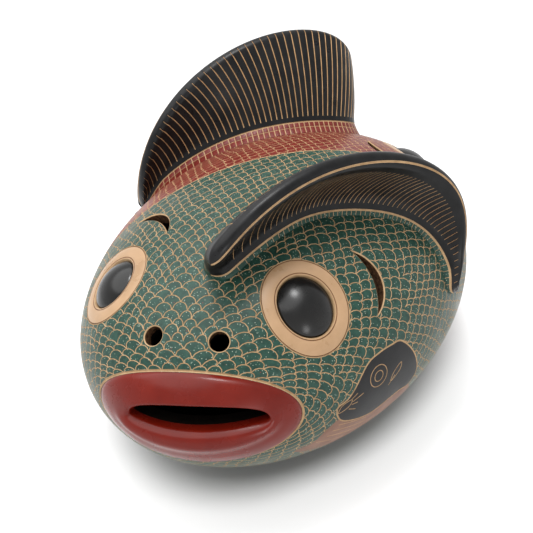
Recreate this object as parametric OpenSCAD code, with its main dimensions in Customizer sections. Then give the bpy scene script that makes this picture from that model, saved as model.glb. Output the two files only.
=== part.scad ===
// Ceramic guiro: a hollow egg-shaped vessel modelled as two fish that chase
// each other round the vertical axis. Each fish has a face at one end of the
// long axis, a pierced mouth between raised lips, two drilled nostrils, two
// gill slits, two inlaid eyes, and a tall ribbed fin that curls over its left
// side and is the surface the player scrapes.
// Units are millimetres, +Z is up, -Y is the green fish's face, and the origin
// is on the floor under the middle of the flattened foot.

/* [Body] */
// Width of the clay body, side to side
body_w = 160; // [140:2:180]
// Length of the clay body, face to face
body_l = 230; // [210:2:250]
// Height of the full egg, before the foot is flattened
body_h = 120; // [108:2:132]
// Thickness of the clay wall
wall = 7; // [6:0.5:8]
// How much of the egg is flattened away to make the foot
foot_flat = 2; // [1.5:0.25:3]
// Height of the seam between the shell and the bowl below it
seam_h = 22; // [20:1:26]
// Height of the stepped lap at the seam
lap_h = 5; // [4:0.5:6]

/* [Eyes] */
// Mean radius of the pale ring inlaid round each pupil
eye_r = 18.1; // [17:0.1:18.6]
// Mean radius of the domed pupil
pupil_r = 11; // [9:0.25:12]
// How far out of round the left eye is, taller than it is wide
eye_oval = 1.075; // [1:0.005:1.08]
// Depth of the eye socket under the middle of the eye
socket_depth = 4.2; // [4:0.1:4.6]
// How far the pupil stands out of the body
pupil_rise = 2.6; // [1.5:0.1:3.5]
// Longitude of the right eye, from the face's own axis (degrees)
right_eye_lon = -34; // [-38:1:-30]
// Longitude of the left eye (degrees)
left_eye_lon = 44; // [40:1:47]
// Latitude of both eyes (degrees)
eye_lat = 35; // [32:1:38]

/* [Mouth] */
// Half the width of the lips
lips_half_w = 40; // [36:1:43]
// Half the height of the lips
lips_half_h = 20; // [18:0.5:22]
// How far the lips stand out from the face
lips_rise = 5; // [3:0.5:6]
// Depth of the bed that the lips are pressed into
lips_bed = 1.5; // [1:0.25:2]
// Width of the mouth slot
slot_w = 53; // [48:1:56]
// Height of the mouth slot
slot_h = 9; // [6:0.5:10]
// Direction that the mouth faces, turned from -Y (degrees)
mouth_turn = 14; // [10:1:18]

/* [Holes] */
// Radius of the nostrils
nostril_r = 3.8; // [3:0.1:4.5]
// Width of the gill slits at their middle
gill_w = 4; // [3:0.2:5]
// Radius of the outer edge of each crescent gill slit
gill_outer_r = 16; // [14:0.5:17]
// Radius of its inner edge
gill_inner_r = 30; // [26:0.5:34]

/* [Fins] */
// Thickness of the fin walls
fin_t = 7; // [6:0.5:8]
// Height of the rounded coil along the top edge of each fin
rim_h = 3.5; // [2.5:0.25:4]
// Extra thickness where a fin flares out on to the body
fin_flare = 8; // [6:0.5:9]
// Height over which that flare dies out
flare_h = 10; // [8:0.5:11]

/* [Hidden] */
$fn = 180;
a = body_w / 2;
b = body_l / 2;
c = body_h / 2;
centre_z = c - foot_flat;
seam_z = seam_h - centre_z;
far = body_l;
overshoot = 12;

// The mouth's own frame: x to its right as seen from the front, y inwards
mouth_at = [14, -113.3, 1];
mouth_back = 60;
lips_swell = [47, 40, 29.6];
lips_shift = 2;
slot_shift = 5.5;
slot_lift = 6;

// The eyes: [longitude, how far out of round]
right_eye = [right_eye_lon, 1];
left_eye = [left_eye_lon, eye_oval];

// Nostrils and gill slits: [longitude, latitude], and the way a slit bulges
nostrils = [[-2.5, 29.6], [18.8, 29.6]];
gills = [[68.4, 32.3, 74], [-43.7, 57.1, 207.5]];

// Each fin: the line it stands on, as [longitude, latitude] control points on
// the body, and the crest of its edge, as [x, y, z] control points measured
// from the middle of the body. Both are Bezier curves from nose to tail.
green_base = [[10, 48], [41, 82], [101, 59], [101, 46], [92, 6]];
green_crest = [[21, -91, 59], [40, -58, 92], [52, -20, 79], [64, -4, 74],
               [84, 13, 69], [86, 23, 41], [81, 5, 9]];
red_base = [[6, 42], [-27, 58], [73, 86], [96, 33], [85, 3]];
red_crest = [[18, -97, 60], [-18, -111, 97], [37, -74, 111], [66, -29, 104],
             [70, 9, 67], [77, 8, 34], [83, -15, 8]];
fin_stations = 56;
fin_levels = 12;
level_crowding = 1.5;
flare_curve = 3;
rim_levels = 8;
fin_span = 150;
fin_gap = 0.05;

function unit(v) = v / norm(v);

// A point on the egg at a longitude from -Y towards +X, and a latitude
function on_egg(ll) =
    [a * cos(ll[1]) * sin(ll[0]), -b * cos(ll[1]) * cos(ll[0]), c * sin(ll[1])];

// The outward normal of the egg at a point on it
function egg_normal(p) = unit([p.x / (a * a), p.y / (b * b), p.z / (c * c)]);

// The point where the ray from the middle through p leaves the egg
function onto_egg(p) = p / norm([p.x / a, p.y / b, p.z / c]);

// A Bezier curve through its control points, at t from 0 to 1
function bezier(p, t) =
    len(p) == 1 ? p[0] : bezier([for (i = [0 : len(p) - 2]) p[i] * (1 - t) + p[i + 1] * t], t);

// Stations crowd together at both ends, where the fin is rounded off
function station(i) = (1 - cos(180 * i / fin_stations)) / 2;
function end_round(s) = sqrt(1 - pow(1 - min(1, 0.02 + min(s, 1 - s) * fin_span / (fin_t / 2)), 2));

// The rib of a fin at station s: the foot, the middle and the tip of its curve
function rib(base, crest, s) =
    let (foot = on_egg(bezier(base, s)),
         crest_p = bezier(crest, s),
         up = egg_normal(foot),
         height = norm(crest_p - foot),
         tip = crest_p - unit(crest_p - foot - up * height * 0.5) * min(rim_h, height * 0.4))
    [foot, foot + up * height * 0.5, tip];

// The unit tangent of the line a fin stands on
function run(base, s) =
    unit(on_egg(bezier(base, min(1, s + 0.01))) - on_egg(bezier(base, max(0, s - 0.01))));

// Across the fin at v of a rib, square to the rib and to the line it stands on
function across(r, run_dir, v) =
    unit(cross(run_dir, (r[1] - r[0]) * (1 - v) + (r[2] - r[1]) * v));

// Half the thickness of a fin at v of a rib
function half_t(r, s, v) =
    let (up = v * norm(r[2] - r[0]))
    end_round(s) * (fin_t + fin_flare * pow(max(0, 1 - up / flare_h), flare_curve)) / 2;

// One side of a fin's section, foot first, with its levels crowded at the
// flare; side is 1 or -1
function fin_side(r, run_dir, s, side) =
    [for (k = [-1 : fin_levels])
        let (v = pow(max(0, k) / fin_levels, level_crowding),
             p = bezier(r, v) + across(r, run_dir, v) * side * half_t(r, s, v) * (k < 0 ? 1 / 3 : 1))
        k <= 0 ? onto_egg(p) * (1 + fin_gap / c) : p];

// One side of the rim coil's section, from the fin's top edge to the crest
function rim_side(r, run_dir, s, side) =
    let (top = unit(r[2] - r[1]), out = across(r, run_dir, 1), half = half_t(r, s, 1),
         reach = rim_h * max(0.3, end_round(s)))
    [for (k = [0 : rim_levels / 2])
        let (turn = 90 * k / (rim_levels / 2 + 0.5))
        r[2] + out * side * half * cos(turn) + top * reach * sin(turn)];

function reversed(list) = [for (i = [len(list) - 1 : -1 : 0]) list[i]];

// Closes a stack of equal rings into a solid. Each ring runs up one side of
// the section and back down the other, so the ends close as ladders.
module loft(rings) {
    count = len(rings);
    size = len(rings[0]);
    half = size / 2;
    sides = [for (i = [0 : count - 2], k = [0 : size - 1])
        let (p = i * size + k, q = i * size + (k + 1) % size)
        each [[p, p + size, q], [q, p + size, q + size]]];
    first_end = [for (k = [0 : half - 2])
        let (m = size - 1 - k)
        each [[k, k + 1, m], [k + 1, m - 1, m]]];
    last = (count - 1) * size;
    last_end = [for (t = first_end) [t[0] + last, t[2] + last, t[1] + last]];
    polyhedron([for (ring = rings) each ring], concat(sides, first_end, last_end));
}

module fin_wall(base, crest)
    loft([for (i = [0 : fin_stations])
        let (s = station(i), r = rib(base, crest, s), d = run(base, s))
        concat(fin_side(r, d, s, 1), reversed(fin_side(r, d, s, -1)))]);

module fin_rim(base, crest)
    loft([for (i = [0 : fin_stations])
        let (s = station(i), r = rib(base, crest, s), d = run(base, s))
        concat(rim_side(r, d, s, 1), reversed(rim_side(r, d, s, -1)))]);

// The egg shrunk inwards by a depth on every axis
module egg(depth = 0)
    scale([a - depth, b - depth, c - depth]) sphere(1);

module above(z)
    translate([-far, -far, z]) cube([2 * far, 2 * far, far]);

// Puts its children on the egg with +Z along the outward normal
module on_surface(lon, lat, spin = 0) {
    p = on_egg([lon, lat]);
    n = egg_normal(p);
    translate(p) rotate([0, acos(n.z), atan2(n.y, n.x)]) rotate([0, 0, spin]) children();
}

// Turns the green fish's parts round to the red fish
module red_side()
    rotate([0, 0, 180]) children();

module both_fish() {
    children();
    red_side() children();
}

module in_mouth()
    translate(mouth_at) rotate([0, 0, mouth_turn]) children();

// A prism through the face, along the mouth's own axis
module through_face()
    in_mouth() rotate([90, 0, 0]) translate([0, 0, -mouth_back]) linear_extrude(mouth_back + far / 4)
        children();

module lips_outline()
    through_face() translate([lips_shift, 0]) scale([lips_half_w, lips_half_h]) circle(1);

module slot_outline()
    through_face() translate([slot_shift, slot_lift]) {
        square([slot_w - slot_h, slot_h], center = true);
        for (side = [-1, 1]) translate([side * (slot_w - slot_h) / 2, 0]) circle(slot_h / 2);
    }

// A crescent between a tight outer arc and a wider inner one
module gill_outline()
    difference() {
        translate([-gill_outer_r, 0]) circle(gill_outer_r);
        translate([-gill_w - gill_inner_r, 0]) circle(gill_inner_r);
    }

module nostril(at)
    on_surface(at[0], at[1]) cylinder(h = 4 * wall, r = nostril_r, center = true);

module gill_slit(at)
    on_surface(at[0], at[1], at[2]) translate([0, 0, -2 * wall]) linear_extrude(4 * wall)
        gill_outline();

// A prism on an eye's outline, a circle of radius r that is stretched down
// the body by oval and narrowed across it as much
module eye_prism(r, oval, from, height)
    translate([0, 0, from]) linear_extrude(height) scale([oval, 2 - oval]) circle(r);

module eye_socket(eye)
    on_surface(eye[0], eye_lat) eye_prism(eye_r, eye[1], -socket_depth, overshoot);

// Everything that is cut away from one fish's half of the body
module fish_cuts() {
    slot_outline();
    difference() {
        lips_outline();
        egg(lips_bed);
    }
    for (at = nostrils) nostril(at);
    for (at = gills) gill_slit(at);
    eye_socket(right_eye);
    eye_socket(left_eye);
}

module raise()
    translate([0, 0, centre_z]) children();

module body_shell()
    color([0.22, 0.42, 0.34]) raise() difference() {
        union() {
            intersection() {
                egg();
                above(seam_z);
            }
            intersection() {
                egg(wall / 2);
                above(seam_z - lap_h);
            }
        }
        egg(wall);
        both_fish() fish_cuts();
    }

module base_bowl()
    color([0.45, 0.2, 0.16]) raise() difference() {
        intersection() {
            egg();
            translate([-far, -far, -centre_z]) cube([2 * far, 2 * far, centre_z + seam_z]);
        }
        egg(wall);
        intersection() {
            egg(wall / 2);
            above(seam_z - lap_h);
        }
    }

module lips()
    color([0.55, 0.16, 0.13]) difference() {
        intersection() {
            lips_outline();
            in_mouth() translate([lips_shift, lips_swell.y - lips_rise, 0]) scale(lips_swell) sphere(1);
        }
        egg(lips_bed);
        slot_outline();
    }

module eye_ring(eye)
    color([0.87, 0.72, 0.55]) intersection() {
        egg();
        on_surface(eye[0], eye_lat) difference() {
            eye_prism(eye_r, eye[1], -socket_depth, overshoot);
            eye_prism(pupil_r, eye[1], -socket_depth - 1, overshoot + 2);
        }
    }

module pupil(eye) {
    // The dome starts a little under the body at its edge
    edge_drop = 0.9;
    sag = pupil_rise + edge_drop;
    dome_r = (pupil_r * pupil_r + sag * sag) / (2 * sag);
    color([0.07, 0.07, 0.07]) on_surface(eye[0], eye_lat) intersection() {
        eye_prism(pupil_r, eye[1], -socket_depth, overshoot);
        translate([0, 0, pupil_rise - dome_r]) scale([eye[1], 2 - eye[1], 1]) sphere(dome_r);
    }
}

module fin_colour()
    color([0.17, 0.17, 0.18]) children();

body_shell();
base_bowl();
fin_colour() raise() fin_wall(green_base, green_crest);  // green_fish_fin
fin_colour() raise() fin_rim(green_base, green_crest);  // green_fish_fin_rim
fin_colour() raise() red_side() fin_wall(red_base, red_crest);  // red_fish_fin
fin_colour() raise() red_side() fin_rim(red_base, red_crest);  // red_fish_fin_rim
raise() lips();  // green_fish_lips
raise() red_side() lips();  // red_fish_lips
raise() eye_ring(left_eye);  // green_left_eye_ring
raise() pupil(left_eye);  // green_left_pupil
raise() eye_ring(right_eye);  // green_right_eye_ring
raise() pupil(right_eye);  // green_right_pupil
raise() red_side() eye_ring(left_eye);  // red_left_eye_ring
raise() red_side() pupil(left_eye);  // red_left_pupil
raise() red_side() eye_ring(right_eye);  // red_right_eye_ring
raise() red_side() pupil(right_eye);  // red_right_pupil
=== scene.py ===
"""A ceramic guiro: two incised, slip-painted fish that chase each other round a hollow egg-shaped body.

Shapes are worked out in millimetres from the middle of the egg, in the green fish's frame, and turned
half a turn about Z for the red fish. Everything is moved up and scaled to metres when a mesh is made.
"""
import math
import random

import bpy
import numpy as np
from mathutils import Matrix, Vector
from mathutils.geometry import delaunay_2d_cdt
from mathutils.kdtree import KDTree


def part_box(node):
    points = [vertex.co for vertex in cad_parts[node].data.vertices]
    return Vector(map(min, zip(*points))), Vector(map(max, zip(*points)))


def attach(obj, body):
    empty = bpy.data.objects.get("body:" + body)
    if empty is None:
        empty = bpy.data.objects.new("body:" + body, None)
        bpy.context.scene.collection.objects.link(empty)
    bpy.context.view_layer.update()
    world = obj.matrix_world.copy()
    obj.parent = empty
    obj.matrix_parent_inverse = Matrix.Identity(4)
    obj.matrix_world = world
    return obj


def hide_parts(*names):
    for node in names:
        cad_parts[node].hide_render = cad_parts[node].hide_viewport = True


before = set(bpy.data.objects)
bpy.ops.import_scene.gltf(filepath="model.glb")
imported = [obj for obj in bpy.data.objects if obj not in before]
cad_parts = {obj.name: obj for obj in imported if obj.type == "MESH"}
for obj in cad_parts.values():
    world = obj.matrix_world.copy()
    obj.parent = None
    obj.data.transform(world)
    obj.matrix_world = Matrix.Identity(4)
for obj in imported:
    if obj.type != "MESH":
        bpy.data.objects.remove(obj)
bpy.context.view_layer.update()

rng = random.Random(11)

# ---- driving sizes, as in the CAD part (mm)
SEMI = np.array([80.0, 115.0, 60.0])
WALL = 7.0
FOOT_FLAT = 2.0
SEAM_Z = -36.0
LAP_H = 5.0
FOOT_Z = FOOT_FLAT - SEMI[2]
CENTRE_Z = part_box("base_bowl")[0].z * 1000 - FOOT_Z

SOCKET_DEPTH = 4.2
PUPIL_RISE = 2.6
EYE_LAT = 35.0
RIGHT_EYE = {"lon": -34.0, "ring": (18.1, 18.1), "pupil": (11.0, 11.0)}
LEFT_EYE = {"lon": 44.0, "ring": (19.5, 16.8), "pupil": (12.1, 10.7)}

MOUTH_AT = np.array([14.0, -113.3, 1.0])
MOUTH_TURN = math.radians(14)
LIPS_HALF_W = 40.0
LIPS_HALF_H = 20.0
LIPS_BED = 1.5
LIPS_RISE = 5.0
LIPS_SHIFT = 2.0
LIPS_SWELL = np.array([47.0, 40.0, 29.6])
SLOT_MIDDLE = (5.5, 3.2)
SLOT_HALF_W = 26.5
SLOT_UP = 8.0
SLOT_DOWN = 2.4

NOSTRIL_R = 3.8
NOSTRILS = [(-2.5, 29.6), (18.8, 29.6)]
GILL_W = 4.0
GILL_OUTER_R = 16.0
GILL_INNER_R = 30.0
GILLS = [(68.4, 32.3, 74.0), (-43.7, 57.1, 207.5)]

FIN_T = 7.0
FIN_RIM_H = 3.5
FIN_FLARE = 8.0
FIN_FLARE_H = 10.0
FIN_SPAN = 150.0
FIN_GAP = 0.05
GREEN_BASE = [(10, 48), (41, 82), (101, 59), (101, 46), (92, 6)]
GREEN_CREST = [(21, -91, 59), (40, -58, 92), (52, -20, 79), (64, -4, 74),
               (84, 13, 69), (86, 23, 41), (81, 5, 9)]
RED_BASE = [(6, 42), (-27, 58), (73, 86), (96, 33), (85, 3)]
RED_CREST = [(18, -97, 60), (-18, -111, 97), (37, -74, 111), (66, -29, 104),
             (70, 9, 67), (77, 8, 34), (83, -15, 8)]

# ---- the drawing scratched into the slip (mm)
FINE = 0.37
MEDIUM = 0.68
BOLD = 0.95
GROOVE_DEPTHS = {FINE: 0.22, MEDIUM: 0.28, BOLD: 0.36}
SIDE_SLOPE = 0.95
SIDE_SHIFT = 9.0
FOOT_LINE_LAT = -64.0

# ---- the small painted fish (longitude, latitude)
SMALL_FISH = [(48.5, -4), (52, -1), (57, 8), (61, 10), (65, 10), (68, 9), (71, 3), (73, -4),
              (74, -12), (72, -17), (68, -15.5), (64, -16), (59, -17.5), (54, -15.5), (49.5, -11)]
BELLY = [(37, -21), (42, -19), (45, -14), (48.5, -10), (49.5, -11), (54, -15.5),
         (59, -17.5), (64, -16), (68, -15.5), (72, -17), (74, -23), (73, -28),
         (68, -30), (63, -32), (57, -33), (51, -34), (44, -29), (39, -25)]
SMALL_EYE = (60.2, 1)
SMALL_EYE_RADII = (4.7, 2.3)
SMALL_EYE_POINTS = 28
SMALL_GILL = [(67.3, 0.5), (66.9, -2.5), (64, -5.2), (64.8, -1.8)]
SMALL_MOUTH = [(52.4, -2.8), (51.6, -5.4), (48.8, -6.6), (49.8, -3.6)]
FACE_LINES = [((52.6, -4), (55.6, -2.6)), ((52.4, -2.6), (54, -1.2)), ((52.4, -5.2), (54, -5.4)),
              ((51.6, -6.8), (53.4, -8.4)), ((65.2, -3.4), (63.2, -6.4))]
BELLY_LINES = [((49, -13.5), (57.5, -19)), ((47.5, -16), (60, -24)),
               ((46, -18.5), (61, -29.5)), ((43, -20), (56, -31.5))]


def unit(v):
    v = np.asarray(v, float)
    return v / np.linalg.norm(v, axis=-1, keepdims=True)


def on_egg(lon, lat):
    """Points on the egg at a longitude from -Y towards +X, and a latitude, in degrees."""
    lon, lat = np.radians(lon), np.radians(lat)
    return np.stack([np.cos(lat) * np.sin(lon), -np.cos(lat) * np.cos(lon), np.sin(lat)], -1) * SEMI


def egg_normal(p):
    return unit(p / SEMI ** 2)


def onto_egg(p, depth=0.0):
    """The points where rays from the middle through p leave the egg shrunk by a depth."""
    semi = SEMI - depth
    return p / np.linalg.norm(p / semi, axis=-1, keepdims=True)


def to_map(p, semi=SEMI):
    """The egg opened out flat about its crown: a stereographic map of the unit ball."""
    u = unit(p / semi)
    return u[..., :2] / (1 + u[..., 2:])


def from_map(q, semi=SEMI):
    r2 = (q ** 2).sum(-1, keepdims=True)
    return np.concatenate([2 * q, 1 - r2], -1) / (1 + r2) * semi


def turned(p):
    """The green fish's point turned round to the red fish, or back."""
    return np.asarray(p) * (-1, -1, 1)


def line_hits_egg(start, way, depth):
    """Where lines from start along way leave the egg shrunk by a depth, on the side they point to."""
    semi = SEMI - depth
    s, w = start / semi, way / semi
    aa, bb, cc = (w * w).sum(-1), (s * w).sum(-1), (s * s).sum(-1) - 1
    t = (-bb + np.sqrt(np.maximum(bb * bb - aa * cc, 0))) / aa
    return start + way * t[..., None]


def surface_frame(lon, lat, spin=0.0):
    """The place on the egg and the two flat axes and normal that the CAD part gives it."""
    at = on_egg(lon, lat)
    n = egg_normal(at)
    turn = Matrix.Rotation(math.atan2(n[1], n[0]), 3, "Z") @ Matrix.Rotation(math.acos(n[2]), 3, "Y")
    turn = turn @ Matrix.Rotation(math.radians(spin), 3, "Z")
    return at, np.array(turn.col[0]), np.array(turn.col[1]), n


def round_angles(count):
    return np.linspace(0, 2 * math.pi, count, endpoint=False)


def circle(radius, count):
    t = round_angles(count)
    return np.stack([np.cos(t), np.sin(t)], -1) * radius


def through(place, flat, depth=0.0):
    """A flat outline in a surface frame, dropped along the normal on to the egg shrunk by a depth."""
    at, x, y, n = place
    start = at + flat[:, :1] * x + flat[:, 1:] * y
    return line_hits_egg(start, n, depth)


MOUTH_X = np.array([math.cos(MOUTH_TURN), math.sin(MOUTH_TURN), 0])
MOUTH_Y = np.array([-math.sin(MOUTH_TURN), math.cos(MOUTH_TURN), 0])
MOUTH_Z = np.array([0, 0, 1.0])


def in_mouth(x, y, z):
    """Points given in the mouth's own frame: x to the right seen from the front, y inwards."""
    x, y, z = np.broadcast_arrays(x, y, z)
    return MOUTH_AT + x[..., None] * MOUTH_X + y[..., None] * MOUTH_Y + z[..., None] * MOUTH_Z


def mouth_onto_egg(flat, depth=0.0):
    return line_hits_egg(in_mouth(flat[:, 0], 0, flat[:, 1]), -MOUTH_Y, depth)


def lips_outline(count, grow=0.0):
    return circle(1, count) * (LIPS_HALF_W + grow, LIPS_HALF_H + grow) + (LIPS_SHIFT, 0)


def slot_outline(count):
    """The mouth slot: an arched upper edge over a shallow curved lower one, pointed at both ends."""
    t = round_angles(count)
    s = np.sin(t)
    rise = np.where(s > 0, SLOT_UP * np.abs(s) ** 0.85, -SLOT_DOWN * np.abs(s) ** 1.1)
    return np.stack([SLOT_HALF_W * np.cos(t), rise], -1) + SLOT_MIDDLE


def gill_outline(grow=0.0, steps=16):
    """A crescent between a tight arc and a wider one, in the flat frame of its place."""
    outer_r, inner_r = GILL_OUTER_R + grow, GILL_INNER_R - grow
    outer_at, inner_at = -GILL_OUTER_R, -GILL_W - GILL_INNER_R
    meet = (inner_r ** 2 - outer_r ** 2 + outer_at ** 2 - inner_at ** 2) / (2 * (outer_at - inner_at))
    sides = []
    for radius, middle, way in ((outer_r, outer_at, 1), (inner_r, inner_at, -1)):
        half = math.acos((meet - middle) / radius)
        turn = np.linspace(-half, half, steps, endpoint=False) * way
        sides.append(np.stack([middle + radius * np.cos(turn), radius * np.sin(turn)], -1))
    return np.concatenate(sides)


def smooth_loop(points, per_step=6):
    """A closed Catmull-Rom curve through rows of [longitude, latitude]."""
    p = np.array(points, float)
    before, after, beyond = np.roll(p, 1, 0), np.roll(p, -1, 0), np.roll(p, -2, 0)
    t = np.linspace(0, 1, per_step, endpoint=False)[None, :, None]
    curve = 0.5 * (2 * p[:, None] + (after - before)[:, None] * t
                   + (2 * before - 5 * p + 4 * after - beyond)[:, None] * t ** 2
                   + (3 * p - before - 3 * after + beyond)[:, None] * t ** 3)
    flat = curve.reshape(-1, 2)
    return on_egg(flat[:, 0], flat[:, 1])


def resample(points, step, closed=False):
    """The same line with its points evenly spaced, about a step apart."""
    p = np.concatenate([points, points[:1]]) if closed else np.asarray(points)
    along = np.concatenate([[0], np.cumsum(np.linalg.norm(np.diff(p, axis=0), axis=1))])
    count = max(2, round(along[-1] / step))
    at = np.linspace(0, along[-1], count + 1)
    if closed:
        at = at[:-1]
    return np.stack([np.interp(at, along, p[:, k]) for k in range(3)], -1)


# ---- fins
def bezier(points, t):
    p = np.repeat(np.array(points, float)[:, None], len(t), 1)
    t = np.asarray(t)[:, None]
    while len(p) > 1:
        p = p[:-1] * (1 - t) + p[1:] * t
    return p[0]


def fin_foot(base, s):
    flat = bezier(base, s)
    return on_egg(flat[:, 0], flat[:, 1])


def end_round(s):
    inward = np.minimum(1, 0.02 + np.minimum(s, 1 - s) * FIN_SPAN / (FIN_T / 2))
    return np.sqrt(1 - (1 - inward) ** 2)


def fin_ribs(base, crest, s):
    """The foot, middle and tip of each rib's curve, and the run of the line it stands on."""
    foot = fin_foot(base, s)
    top = bezier(crest, s)
    up = egg_normal(foot)
    height = np.linalg.norm(top - foot, axis=1, keepdims=True)
    middle = foot + up * height * 0.5
    tip = top - unit(top - middle) * np.minimum(FIN_RIM_H, height * 0.4)
    run = unit(fin_foot(base, np.minimum(1, s + 0.01)) - fin_foot(base, np.maximum(0, s - 0.01)))
    return foot, middle, tip, run


def fin_across(ribs, v):
    foot, middle, tip, run = ribs
    return unit(np.cross(run, (middle - foot) * (1 - v) + (tip - middle) * v))


def fin_half(ribs, s, v):
    up = v * np.linalg.norm(ribs[2] - ribs[0], axis=1)
    return end_round(s) * (FIN_T + FIN_FLARE * np.maximum(0, 1 - up / FIN_FLARE_H) ** 3) / 2


FOOTPRINT_STATIONS = 60
FOOTPRINT_STEP = 1.4


def fin_footprint(base, crest, grow):
    """The loop on the body round the foot of a fin."""
    s = (1 - np.cos(np.linspace(0, math.pi, FOOTPRINT_STATIONS))) / 2
    ribs = fin_ribs(base, crest, s)
    half = (FIN_T + FIN_FLARE) / 2 * end_round(s) + grow
    side = fin_across(ribs, 0.0)
    ends = ribs[3] * ((s > 0.5) * 2 - 1.0)[:, None] * (1 - end_round(s))[:, None] * grow
    left = ribs[0] + side * half[:, None] + ends
    right = ribs[0] - side * half[:, None] + ends
    return onto_egg(resample(np.concatenate([left, right[::-1]]), FOOTPRINT_STEP, closed=True))


# ---- zones of the drawing
ZONE_STEP = 0.3


class Zone:
    """A patch of the egg inside a closed loop."""

    def __init__(self, loop):
        self.flat = to_map(loop)
        self.dense = resample(loop, ZONE_STEP, closed=True)
        self.tree = None

    def inside(self, p):
        q = to_map(p)
        x, y = q[:, 0], q[:, 1]
        low, high = self.flat.min(0), self.flat.max(0)
        near = (x >= low[0]) & (x <= high[0]) & (y >= low[1]) & (y <= high[1])
        odd = np.zeros(len(q), bool)
        xs, ys = x[near], y[near]
        count = np.zeros(len(xs), int)
        for (x0, y0), (x1, y1) in zip(self.flat, np.roll(self.flat, -1, 0)):
            cuts = (y0 > ys) != (y1 > ys)
            if y1 != y0:
                count += cuts & (xs < (x1 - x0) * (ys - y0) / (y1 - y0) + x0)
        odd[near] = count % 2 == 1
        return odd

    def clearance(self, p, reach=3.0):
        """How far outside the loop each point is, up to reach, and less than nothing inside."""
        if self.tree is None:
            self.tree = kd_tree(self.dense)
            self.middle = self.dense.mean(0)
            self.size = np.linalg.norm(self.dense - self.middle, axis=1).max()
        out = np.full(len(p), reach)
        close = np.nonzero(np.linalg.norm(p - self.middle, axis=1) < self.size + reach)[0]
        for i in close:
            out[i] = min(reach, self.tree.find(p[i])[2])
        return np.where(self.inside(p), -out, out)


def kd_tree(points):
    tree = KDTree(len(points))
    for i, p in enumerate(points):
        tree.insert(p, i)
    tree.balance()
    return tree


def side_of(p):
    """Distance on the green fish's side of the plane that parts the two fish."""
    return (SIDE_SLOPE * p[:, 0] + SIDE_SHIFT - p[:, 1]) / math.hypot(SIDE_SLOPE, 1)


EYE_POINTS = 72


class Eye:
    """One eye's place, and the half sizes of its oval ring and pupil, down the body and across it."""

    def __init__(self, side, lon, ring, pupil):
        self.side = side
        self.place = surface_frame(lon, EYE_LAT)
        self.ring = np.array(ring)
        self.pupil = np.array(pupil)

    def oval(self, share, grow=0.0):
        """The flat oval at a share of the way from the pupil's edge, 0, out to the ring's edge, 1."""
        return circle(1, EYE_POINTS) * (self.pupil + (self.ring - self.pupil) * share + grow)

    def at(self, flat, rise):
        """Points of the eye's flat frame, lifted along its normal."""
        middle, x, y, n = self.place
        return middle + flat[:, :1] * x + flat[:, 1:] * y + n * rise


class Fish:
    """One fish's features in its own frame, and how its fin's rays and its scales are drawn."""

    def __init__(self, name, flip, base, crest, ray_slants, rim_ray_steps, scale_widths, arc_steps):
        self.name = name
        self.flip = flip
        self.base = base
        self.crest = crest
        self.ray_slants = ray_slants
        self.rim_ray_steps = rim_ray_steps
        self.scale_widths = scale_widths
        self.arc_steps = arc_steps
        self.eyes = [Eye("right", **RIGHT_EYE), Eye("left", **LEFT_EYE)]
        self.nostrils = [surface_frame(*at) for at in NOSTRILS]
        self.gills = [surface_frame(*at) for at in GILLS]

    def world(self, p):
        return turned(p) if self.flip else np.asarray(p)

    def own_side(self, p):
        """How far points of the whole object lie on this fish's side."""
        return -side_of(p) if self.flip else side_of(p)


FISHES = (
    Fish("green", flip=False, base=GREEN_BASE, crest=GREEN_CREST, ray_slants=(0.65, 0.0), rim_ray_steps=0,
         scale_widths=(5.5, 4.4), arc_steps=6),
    Fish("red", flip=True, base=RED_BASE, crest=RED_CREST, ray_slants=(0.0, -0.35), rim_ray_steps=4,
         scale_widths=(5.1, 4.2), arc_steps=5))

LIPS_POINTS = 120
NOSTRIL_POINTS = 24
HOLE_BEVEL = 0.45
LINE_GAP = 0.04
FIN_MARGIN = 0.3


def hole_loops(fish):
    """The loops where one fish's skin is cut through or down, in the fish's own frame."""
    loops = [("lips", mouth_onto_egg(lips_outline(LIPS_POINTS)))]
    loops += [("eye", through(eye.place, eye.oval(1))) for eye in fish.eyes]
    loops += [("nostril", through(n, circle(NOSTRIL_R + HOLE_BEVEL, NOSTRIL_POINTS))) for n in fish.nostrils]
    loops += [("gill", through(g, gill_outline(HOLE_BEVEL))) for g in fish.gills]
    return loops


def edge_loops(fish):
    """The loops round one fish's lips and eyes, where the lines beside them run, and round its fin's foot."""
    lips = mouth_onto_egg(lips_outline(LIPS_POINTS, BOLD / 2 + LINE_GAP))
    eyes = [through(eye.place, eye.oval(1, FINE / 2 + LINE_GAP)) for eye in fish.eyes]
    fin = fin_footprint(fish.base, fish.crest, FIN_MARGIN)
    return lips, eyes, fin


# ---- scales
def mouth_polar(mouth):
    """Axes of the unit ball about the middle of the mouth."""
    m = unit(mouth / SEMI)
    right = unit(np.cross((0, 0, 1.0), m))
    return m, right, np.cross(m, right)


MOUTH_AXES = mouth_polar(mouth_onto_egg(np.array([[LIPS_SHIFT, 0.0]]))[0])


def polar_point(theta, phi):
    """The point of the egg at an angle round the mouth and an angle away from it."""
    m, right, up = MOUTH_AXES
    theta, phi = np.asarray(theta)[..., None], np.asarray(phi)[..., None]
    ring = right * np.cos(theta) + up * np.sin(theta)
    return (m * np.cos(phi) + ring * np.sin(phi)) * SEMI


def polar_of(p):
    m, right, up = MOUTH_AXES
    u = unit(p / SEMI)
    return np.arctan2(u @ up, u @ right), np.arccos(np.clip(u @ m, -1, 1))


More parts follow.
